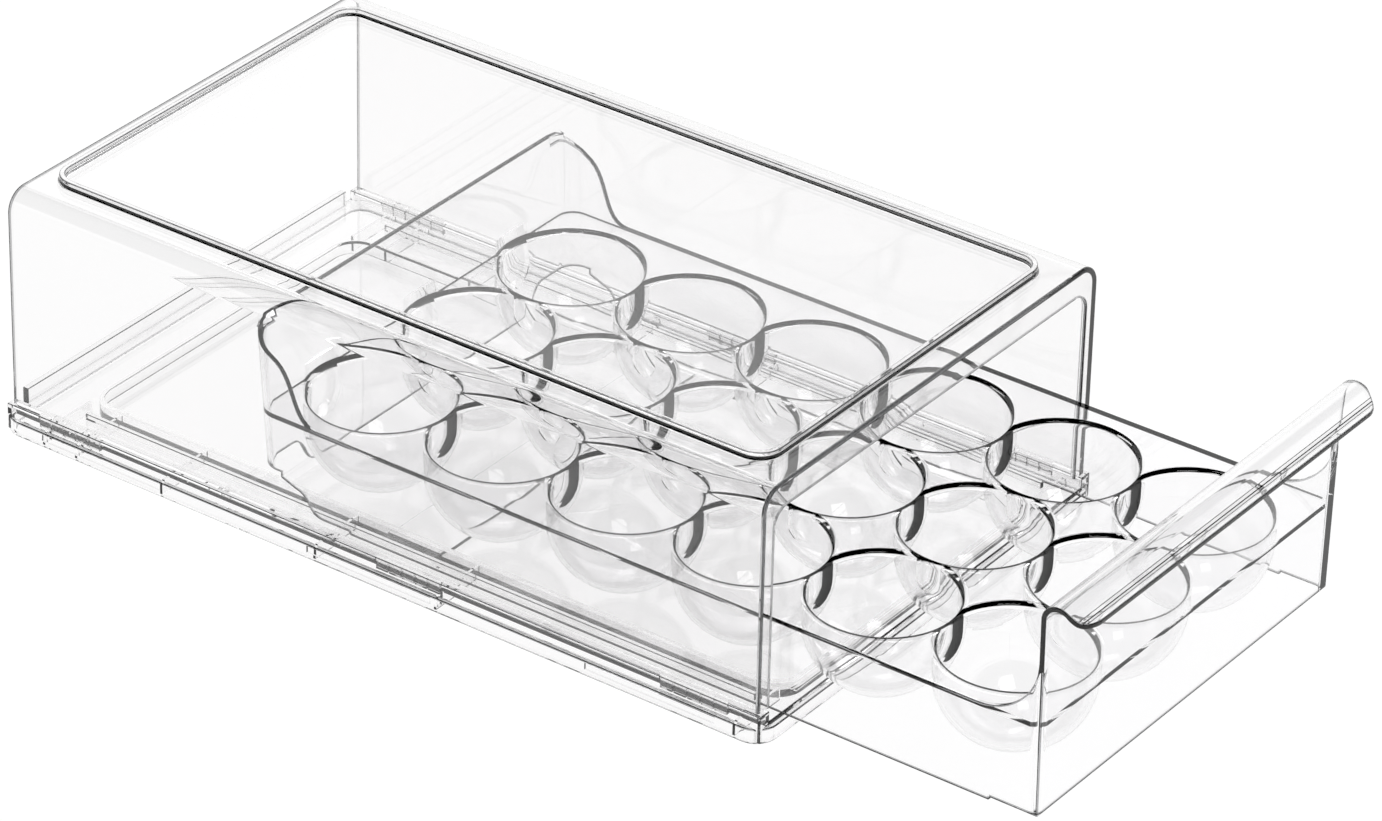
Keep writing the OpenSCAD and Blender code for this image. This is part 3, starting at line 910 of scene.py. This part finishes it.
def add_sky():
    """A sky that is white round the sides and dark overhead."""
    world = bpy.data.worlds.new("studio")
    bpy.context.scene.world = world
    world.use_nodes = True
    nodes, links = world.node_tree.nodes, world.node_tree.links
    place = nodes.new("ShaderNodeTexCoord")
    height = nodes.new("ShaderNodeVectorMath")
    height.operation = "DOT_PRODUCT"
    height.inputs[1].default_value = SKY_TILT
    ramp = nodes.new("ShaderNodeValToRGB")
    links.new(place.outputs["Generated"], height.inputs[0])
    links.new(height.outputs["Value"], ramp.inputs["Fac"])
    for stop in SKY[1:-1]:
        ramp.color_ramp.elements.new(stop[0])
    for element, (stop, level) in zip(ramp.color_ramp.elements, SKY):
        element.position = stop
        element.color = (level, level, level, 1)
    background = nodes["Background"]
    background.inputs["Strength"].default_value = SKY_STRENGTH
    links.new(ramp.outputs["Color"], background.inputs["Color"])


def add_softboxes(s):
    """Square area lights that face the object."""
    for name, place, size, share in SOFTBOXES:
        bpy.ops.object.light_add(type="AREA", location=place)
        light = bpy.context.object
        light.name = name
        light.data.shape = "SQUARE"
        light.data.size = size
        light.data.energy = s.light_power * share
        light.rotation_euler = (-Vector(place)).to_track_quat("-Z", "Y").to_euler()


def add_camera(s):
    """The camera, turned towards its target."""
    data = bpy.data.cameras.new("camera")
    camera = bpy.data.objects.new("camera", data)
    bpy.context.collection.objects.link(camera)
    place, target = Vector(s.camera_place), Vector(s.camera_target)
    turn = (target - place).to_track_quat("-Z", "Y").to_matrix().to_4x4()
    camera.matrix_world = Matrix.Translation(place) @ turn @ Matrix.Rotation(s.camera_roll, 4, "Z")
    data.lens = s.camera_lens
    data.sensor_width = s.sensor_width
    data.sensor_fit = "HORIZONTAL"
    data.clip_start, data.clip_end = CAMERA_CLIP
    bpy.context.scene.camera = camera


def build_stage(s):
    """What stands round the object."""
    add_floor(s)
    add_sky()
    add_softboxes(s)
    add_camera(s)
    bpy.context.scene.view_settings.view_transform = "Standard"


# ---------------------------------------------------------------- add-on

class EGGDRAWER_OT_hood(Operator):
    """Build the hood"""
    bl_idname = "mesh.egg_drawer_hood"
    bl_label = "Add Hood"

    def execute(self, context):
        finish = context.scene.egg_drawer_finish
        wall_and_edge_shade = plastic_and_edge_shade("hood_plastic", finish.hood_colour, finish, flow=0.25,
                                wave_scale=18, wave_height=0.01 * MM, scuffs=0.004)
        build_hood(context.scene.egg_drawer_hood, wall_and_edge_shade)
        return {"FINISHED"}


class EGGDRAWER_OT_base(Operator):
    """Build the base"""
    bl_idname = "mesh.egg_drawer_base"
    bl_label = "Add Base"

    def execute(self, context):
        finish = context.scene.egg_drawer_finish
        wall_and_edge_shade = plastic_and_edge_shade("base_plastic", finish.base_colour, finish, flow=0.3,
                                wave_scale=24, wave_height=0.02 * MM, scuffs=0.02)
        build_base(context.scene.egg_drawer_base, wall_and_edge_shade)
        return {"FINISHED"}


class EGGDRAWER_OT_drawer(Operator):
    """Build the drawer"""
    bl_idname = "mesh.egg_drawer_drawer"
    bl_label = "Add Drawer"

    def execute(self, context):
        finish = context.scene.egg_drawer_finish
        wall_and_edge_shade = plastic_and_edge_shade("drawer_plastic", finish.drawer_colour, finish, flow=0.15,
                                wave_scale=20, wave_height=0.01 * MM, scuffs=0.006)
        build_drawer(context.scene.egg_drawer_drawer, wall_and_edge_shade)
        return {"FINISHED"}


class EGGDRAWER_OT_stage(Operator):
    """Add the floor, the sky, the lights and the camera"""
    bl_idname = "mesh.egg_drawer_stage"
    bl_label = "Add Stage"

    def execute(self, context):
        build_stage(context.scene.egg_drawer_stage)
        return {"FINISHED"}


class EGGDRAWER_PT_panel(Panel):
    """Lists the builders"""
    bl_idname = "EGGDRAWER_PT_panel"
    bl_label = "Egg Drawer"
    bl_space_type = "VIEW_3D"
    bl_region_type = "UI"
    bl_category = "Egg Drawer"

    def draw(self, context):
        for operator in OPERATORS:
            self.layout.operator(operator.bl_idname)


SETTINGS = {"egg_drawer_hood": HoodSettings, "egg_drawer_base": BaseSettings,
            "egg_drawer_drawer": DrawerSettings, "egg_drawer_finish": FinishSettings,
            "egg_drawer_stage": StageSettings}
OPERATORS = (EGGDRAWER_OT_stage, EGGDRAWER_OT_base, EGGDRAWER_OT_hood, EGGDRAWER_OT_drawer)


def register():
    for cls in (*SETTINGS.values(), *OPERATORS, EGGDRAWER_PT_panel):
        bpy.utils.register_class(cls)
    for name, cls in SETTINGS.items():
        setattr(bpy.types.Scene, name, PointerProperty(type=cls))


def unregister():
    for name in SETTINGS:
        delattr(bpy.types.Scene, name)
    for cls in reversed((*SETTINGS.values(), *OPERATORS, EGGDRAWER_PT_panel)):
        bpy.utils.unregister_class(cls)


def main():
    register()
    for operator in OPERATORS:
        group, name = operator.bl_idname.split(".")
        getattr(getattr(bpy.ops, group), name)()


if __name__ == "__main__":
    main()
